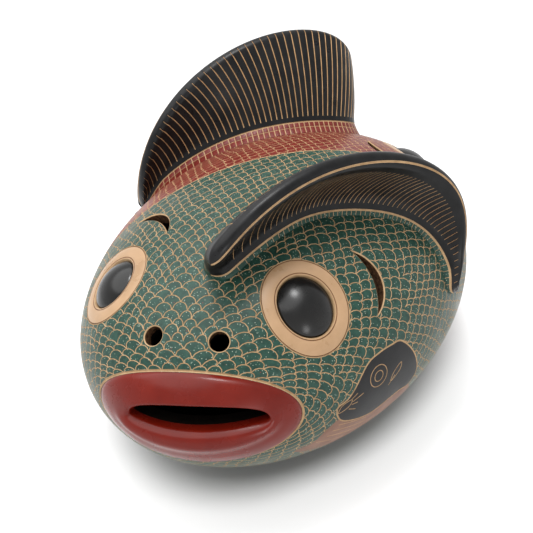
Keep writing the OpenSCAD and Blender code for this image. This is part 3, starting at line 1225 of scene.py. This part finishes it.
# ---- lips and eyes
BED_GAP = 0.03
LIP_RINGS = 22
SLOT_WALL_SHARES = (0.25, 0.6, 1)
# how the lips' face runs in from their outline, 0, to the slot, 1: a softened edge, a ridge and a dip
# along the lower lip only, and a roll into the slot
RING_CROWDING = 1.35
SOFT_EDGE = {"upto": 0.05, "depth": 0.7}
RIDGE = {"at": 0.72, "breadth": 0.14, "height": 1.3}
DIP = {"at": 0.5, "breadth": 0.1, "height": -0.25}
ROLL = {"start": 0.86, "depth": 1.1, "more_below": 1.6}
LOWER_SLOPE = 1.6
LOWER_SHIFT = 0.25


def hump(f, at, breadth, height):
    return height * math.exp(-((f - at) / breadth) ** 2)


def lip_swell(flat):
    """How far in (+) or out (-) of the mouth's origin the lips' swollen face lies."""
    x, z = (flat[:, 0] - LIPS_SHIFT) / LIPS_SWELL[0], flat[:, 1] / LIPS_SWELL[2]
    return LIPS_SWELL[1] - LIPS_RISE - LIPS_SWELL[1] * np.sqrt(np.maximum(0, 1 - x * x - z * z))


def build_lips(fish, materials):
    piece = Piece(f"{fish.name}_lips", ["lip_slip"], [f"{fish.name}_fish_lips"], "lip_slip", fish.flip)
    outline, slot = lips_outline(LIPS_POINTS), slot_outline(LIPS_POINTS)
    lower = np.clip(-np.sin(round_angles(LIPS_POINTS)) * LOWER_SLOPE + LOWER_SHIFT, 0, 1)
    roll_in = ROLL["depth"] + ROLL["more_below"] * lower
    levels = []
    for k in range(LIP_RINGS + 1):
        f = 1 - (1 - k / LIP_RINGS) ** RING_CROWDING
        flat = outline * (1 - f) + slot * f
        soft_edge = SOFT_EDGE["depth"] * (1 - min(1, f / SOFT_EDGE["upto"])) ** 2
        ridge = (hump(f, **RIDGE) + hump(f, **DIP)) * lower
        roll = roll_in * max(0, (f - ROLL["start"]) / (1 - ROLL["start"])) ** 2
        levels.append(in_mouth(flat[:, 0], lip_swell(flat) + soft_edge - ridge + roll, flat[:, 1]))
    inner = mouth_onto_egg(slot, LIPS_BED - BED_GAP)
    face = in_mouth(slot[:, 0], lip_swell(slot) + roll_in, slot[:, 1])
    levels += [face * (1 - t) + inner * t for t in SLOT_WALL_SHARES]
    levels.append(mouth_onto_egg((slot + outline) / 2, LIPS_BED - BED_GAP))
    first = piece.ring(mouth_onto_egg(outline, LIPS_BED - BED_GAP))
    piece.bridge(piece.loft(first, levels), first)
    return piece.build(materials, crease=60)


# from the eye ring's outer edge in to the pupil: share of its breadth, how far under the egg, and slot
# (0 the ring's own slip, 1 the dark edge of a line, 2 bare clay)
RING_PROFILE = [(0.995, 0.0, 0), (0.975, 0.2, 1), (0.955, 0.02, 1), (0.83, -0.12, 0), (0.66, -0.16, 0),
                (0.45, -0.16, 0), (0.30, -0.08, 0), (0.225, 0.05, 0), (0.195, 0.3, 1), (0.165, 0.1, 1),
                (0.11, 0.2, 0), (0.07, 0.5, 2), (0.02, 1.3, 2)]
RING_FLOOR = -SOCKET_DEPTH + 0.03


def build_eye_ring(fish, eye, materials):
    """An inlaid washer."""
    piece = Piece(f"{fish.name}_{eye.side}_ring", ["cream_slip", "edge_line", "clay_line"],
                  [f"{fish.name}_{eye.side}_eye_ring"], "cream_slip", fish.flip)
    normal = eye.place[3]
    first = ring = piece.ring(eye.at(eye.oval(RING_PROFILE[0][0]), RING_FLOOR))
    for share, under, slot in RING_PROFILE:
        ring = piece.loft(ring, [through(eye.place, eye.oval(share)) - normal * under], slot)
    inner = piece.loft(ring, [eye.at(eye.oval(RING_PROFILE[-1][0]), RING_FLOOR)], slot)
    piece.bridge(inner, first)
    return piece.build(materials, crease=24)


PUPIL_FLOOR = -SOCKET_DEPTH + 0.05
PUPIL_SAG = PUPIL_RISE + 1.5
PUPIL_EDGE_DROP = 0.15
DOME_SHARES = (1, *np.linspace(0.985, 0.05, 18))
PUPIL_FIT = 0.996
OUT_OF_ROUND = 0.006


def build_pupil(fish, eye, materials, seed):
    """A burnished dome, a little out of round as it was pressed in by hand."""
    piece = Piece(f"{fish.name}_{eye.side}_dome", ["pupil_slip"], [f"{fish.name}_{eye.side}_pupil"],
                  "pupil_slip", fish.flip)
    wobble = np.random.default_rng(seed).uniform(-0.5, 0.5, 4)
    t = round_angles(EYE_POINTS)
    waves = wobble[0] * np.cos(2 * t) + wobble[1] * np.sin(3 * t) + wobble[2] * np.cos(5 * t)
    uneven = PUPIL_FIT + OUT_OF_ROUND * waves
    radius = eye.pupil.mean()
    dome_r = (radius ** 2 + PUPIL_SAG ** 2) / (2 * PUPIL_SAG)

    def level(share, rise):
        return eye.at(eye.oval(0) * uneven[:, None] * share, rise)

    first = piece.ring(level(1, PUPIL_FLOOR))
    piece.fan(first, piece.ring(eye.at(np.zeros((1, 2)), PUPIL_FLOOR)), outward=False)
    rises = [PUPIL_RISE - dome_r + math.sqrt(dome_r ** 2 - (radius * share) ** 2) for share in DOME_SHARES]
    rises[0] -= PUPIL_EDGE_DROP
    top = piece.loft(first, map(level, DOME_SHARES, rises))
    piece.fan(top, piece.ring(eye.at(np.zeros((1, 2)), PUPIL_RISE)))
    return piece.build(materials, crease=50)


# ---- materials
def shader(name):
    material = bpy.data.materials.new(name)
    material.use_nodes = True
    tree = material.node_tree
    return material, tree, tree.nodes["Principled BSDF"]


def add_node(tree, kind, values):
    node = tree.nodes.new("ShaderNode" + kind)
    feed(tree, node, values)
    return node


def feed(tree, node, values):
    """Sets a node's inputs: numbers and colours as they are, and a link where the value is an output."""
    for name, value in values.items():
        socket = node.inputs[name]
        if isinstance(value, bpy.types.NodeSocket):
            tree.links.new(value, socket)
        else:
            socket.default_value = value


def object_place(tree):
    return tree.nodes.new("ShaderNodeTexCoord").outputs["Object"]


def noise(tree, scale, detail=4.0, roughness=0.55):
    node = add_node(tree, "TexNoise", {"Scale": scale, "Detail": detail, "Roughness": roughness,
                                       "Vector": object_place(tree)})
    return node.outputs["Fac"]


def ramp(tree, source, stops):
    """A colour that runs from the first stop's to the last one's; a stop is a place and a colour."""
    node = add_node(tree, "ValToRGB", {"Fac": source})
    for element, (position, colour) in zip(node.color_ramp.elements, stops):
        element.position, element.color = position, (*colour, 1)
    return node.outputs["Color"]


def mix(tree, factor, a, b):
    node = tree.nodes.new("ShaderNodeMix")
    node.data_type = "RGBA"
    feed(tree, node, {"Factor": factor, "A": a, "B": (*b, 1)})
    return node.outputs["Result"]


def specks(tree, scale, size):
    """1 inside small scattered specks, 0 elsewhere."""
    cells = add_node(tree, "TexVoronoi", {"Scale": scale, "Vector": object_place(tree)})
    edge = {"From Min": size, "From Max": size * SPECK_CORE, "Value": cells.outputs["Distance"]}
    return add_node(tree, "MapRange", edge).outputs["Result"]


CLOUD_STOPS = (0.34, 0.66)
CLOUD_DETAIL = 6.0
CLOUD_ROUGHNESS = 0.6
SPECK_CORE = 0.55
ROUGHNESS_SCALE = 70
ROUGHNESS_SPREAD = 0.09
BUMP_SCALE = 900
BUMP_DISTANCE = 0.0002


def slip(name, dark, light, roughness, cloud, grains=(), bump=0.12, gloss=0.32):
    """A clay slip clouded between two tones, with optional specks (scale, size, colour): mineral grains, some
    also painted glints.
    """
    material, tree, bsdf = shader(name)
    colour = ramp(tree, noise(tree, cloud, CLOUD_DETAIL, CLOUD_ROUGHNESS), zip(CLOUD_STOPS, (dark, light)))
    for scale, size, tone in grains:
        colour = mix(tree, specks(tree, scale, size), colour, tone)
    sheen = add_node(tree, "MapRange", {
        "From Min": 0.3, "From Max": 0.7, "Value": noise(tree, ROUGHNESS_SCALE),
        "To Min": roughness - ROUGHNESS_SPREAD, "To Max": roughness + ROUGHNESS_SPREAD})
    relief = add_node(tree, "Bump", {
        "Strength": bump, "Distance": BUMP_DISTANCE, "Height": noise(tree, BUMP_SCALE)})
    feed(tree, bsdf, {"Base Color": colour, "Specular IOR Level": gloss, "Roughness": sheen.outputs["Result"],
                      "Normal": relief.outputs["Normal"]})
    return material


# the first, pale specks are white grains of the slip and painted glints of its burnish as well
GREEN_GRAINS_AND_GLINTS = [(1000, 0.21, (0.36, 0.42, 0.34)), (1300, 0.16, (0.003, 0.008, 0.006)),
                (330, 0.075, (0.20, 0.02, 0.015))]
RED_GRAINS = [(1200, 0.14, (0.24, 0.10, 0.07)), (1100, 0.14, (0.03, 0.004, 0.003))]
# name, darker tone, lighter tone, roughness, scale of the clouds, and what differs from a plain slip
SLIPS = [
    ("green_slip", (0.007, 0.031, 0.0215), (0.018, 0.060, 0.043), 0.38, 420,
     {"grains": GREEN_GRAINS_AND_GLINTS, "gloss": 0.28}),
    ("red_slip", (0.105, 0.011, 0.008), (0.165, 0.020, 0.014), 0.38, 380,
     {"grains": RED_GRAINS, "gloss": 0.25}),
    ("clay_line", (0.31, 0.190, 0.092), (0.44, 0.290, 0.155), 0.62, 260, {"bump": 0.3}),
    ("ray_line", (0.38, 0.235, 0.110), (0.54, 0.350, 0.180), 0.62, 260, {"bump": 0.3}),
    ("fish_grey", (0.008, 0.008, 0.0085), (0.016, 0.016, 0.017), 0.42, 140, {"gloss": 0.18}),
    ("belly_slip", (0.15, 0.072, 0.048), (0.22, 0.120, 0.082), 0.5, 120, {"gloss": 0.22}),
    ("bare_clay", (0.20, 0.095, 0.050), (0.30, 0.155, 0.085), 0.75, 200, {"bump": 0.4}),
    # painted shade: cut clay of the holes, coloured far darker than the bare clay of the foot
    ("raw_clay_and_shade", (0.020, 0.010, 0.005), (0.110, 0.055, 0.026), 0.85, 700, {"bump": 0.9, "gloss": 0.1}),
    # painted shade: the hollow's inside and the deepest band of each hole, near black as shade makes them
    ("inside_painted_shade", (0.002, 0.0015, 0.001), (0.006, 0.004, 0.003), 0.9, 300, {"bump": 0.5, "gloss": 0.05}),
    ("fin_slip", (0.004, 0.004, 0.0043), (0.010, 0.010, 0.0105), 0.33, 150, {"gloss": 0.2}),
    ("lip_slip", (0.108, 0.0055, 0.0022), (0.140, 0.0085, 0.0035), 0.27, 60, {"bump": 0.05, "gloss": 0.24}),
    ("cream_slip", (0.33, 0.205, 0.110), (0.42, 0.264, 0.148), 0.32, 70, {"bump": 0.06}),
    ("edge_line", (0.12, 0.055, 0.022), (0.20, 0.095, 0.038), 0.6, 200, {}),
    ("pupil_slip", (0.003, 0.003, 0.003), (0.007, 0.0065, 0.006), 0.24, 110, {"bump": 0.08, "gloss": 0.36}),
]


# ---- studio
CAMERA_AZIMUTH = math.radians(28.5)
CAMERA_ELEVATION = math.radians(29.5)
CAMERA_DISTANCE = 0.440
CAMERA_ROLL = math.radians(-4.67)
CAMERA_LENS = 63.6
CAMERA_SENSOR = 36
CAMERA_CLIP = (0.01, 20)
AIM_RIGHT = -0.0082
AIM_UP = 0.0063


def make_camera():
    """Looks from above in front of the green fish, from its left, and leans a little to one side."""
    a, e = CAMERA_AZIMUTH, CAMERA_ELEVATION
    back = Vector((math.sin(a) * math.cos(e), -math.cos(a) * math.cos(e), math.sin(e)))
    right = Vector((math.cos(a), math.sin(a), 0))
    right = Matrix.Rotation(CAMERA_ROLL, 3, back) @ right
    up = back.cross(right)
    middle = Vector((0, 0, CENTRE_Z / 1000))
    place = middle + back * CAMERA_DISTANCE
    aim = middle + right * AIM_RIGHT + up * AIM_UP
    back = (place - aim).normalized()
    right = (right - back * right.dot(back)).normalized()
    up = back.cross(right)
    data = bpy.data.cameras.new("camera")
    data.lens = CAMERA_LENS
    data.sensor_width = CAMERA_SENSOR
    data.clip_start, data.clip_end = CAMERA_CLIP
    camera = bpy.data.objects.new("camera", data)
    camera.matrix_world = Matrix((right, up, back)).transposed().to_4x4()
    camera.location = place
    bpy.context.scene.collection.objects.link(camera)
    bpy.context.scene.camera = camera


SKY_LOW = 1.1
SKY_HIGH = 0.80
# name, place, aim, size and power of each round light
LIGHTS = [("key", (-0.24, -0.14, 0.85), (0, 0, 0.06), 1.30, 9),
          ("window", (0.02, -0.03, 1.00), (0, 0, 0.06), 0.24, 3.2),
          ("side_window", (0.66, -0.64, 0.17), (-0.04, 0.04, 0.12), 0.18, 0.9)]
FLOOR_SIZE = 60
FLOOR_WHITE = 0.47
FLOOR_LIGHT_POWER = 4.9
FLOOR_LIGHT_SPREAD = math.radians(21)
FLOOR_LIGHT_HEIGHT = math.radians(56)


def add_light(name, kind, power):
    data = bpy.data.lights.new(name, kind)
    data.energy = power
    light = bpy.data.objects.new(name, data)
    bpy.context.scene.collection.objects.link(light)
    return light, data


def area_light(name, place, aim, size, power):
    light, data = add_light(name, "AREA", power)
    data.shape = "DISK"
    data.size = size
    light.location = place
    light.rotation_euler = (Vector(aim) - Vector(place)).to_track_quat("-Z", "Y").to_euler()


def floor_light(floor):
    """A soft sun from the front that falls on the floor alone, so the shadow keeps close to the body."""
    light, data = add_light("floor_light", "SUN", FLOOR_LIGHT_POWER)
    data.angle = FLOOR_LIGHT_SPREAD
    light.rotation_euler = (math.pi / 2 - FLOOR_LIGHT_HEIGHT, 0, CAMERA_AZIMUTH)
    lit = bpy.data.collections.new("floor_only")
    lit.objects.link(floor)
    light.light_linking.receiver_collection = lit


def make_sky():
    """Soft light from all round, brighter towards the horizon."""
    world = bpy.data.worlds.new("studio")
    world.use_nodes = True
    tree = world.node_tree
    place = tree.nodes.new("ShaderNodeTexCoord").outputs["Generated"]
    height = add_node(tree, "SeparateXYZ", {"Vector": place}).outputs["Z"]
    shade = ramp(tree, height, [(0.12, (SKY_LOW,) * 3), (0.45, (SKY_HIGH,) * 3)])
    feed(tree, tree.nodes["Background"], {"Color": shade})
    bpy.context.scene.world = world


def make_studio():
    """A pale floor brought up to white by its own light, with the sky and the three lamps round it."""
    bpy.ops.mesh.primitive_plane_add(size=FLOOR_SIZE)
    floor = bpy.context.object
    floor.name = "floor"
    material, tree, bsdf = shader("studio_floor")
    feed(tree, bsdf, {"Base Color": (FLOOR_WHITE,) * 3 + (1,), "Roughness": 0.9, "Specular IOR Level": 0.1})
    floor.data.materials.append(material)
    make_sky()
    floor_light(floor)
    for light in LIGHTS:
        area_light(*light)
    bpy.context.scene.view_settings.view_transform = "Standard"


make_camera()
make_studio()
MATERIALS = {name: slip(name, *look, **extra) for name, *look, extra in SLIPS}
build_body(MATERIALS)
for number, fish in enumerate(FISHES):
    build_fin(fish, MATERIALS)
    build_lips(fish, MATERIALS)
    for order, eye in enumerate(fish.eyes):
        build_eye_ring(fish, eye, MATERIALS)
        build_pupil(fish, eye, MATERIALS, seed=number * 2 + order)
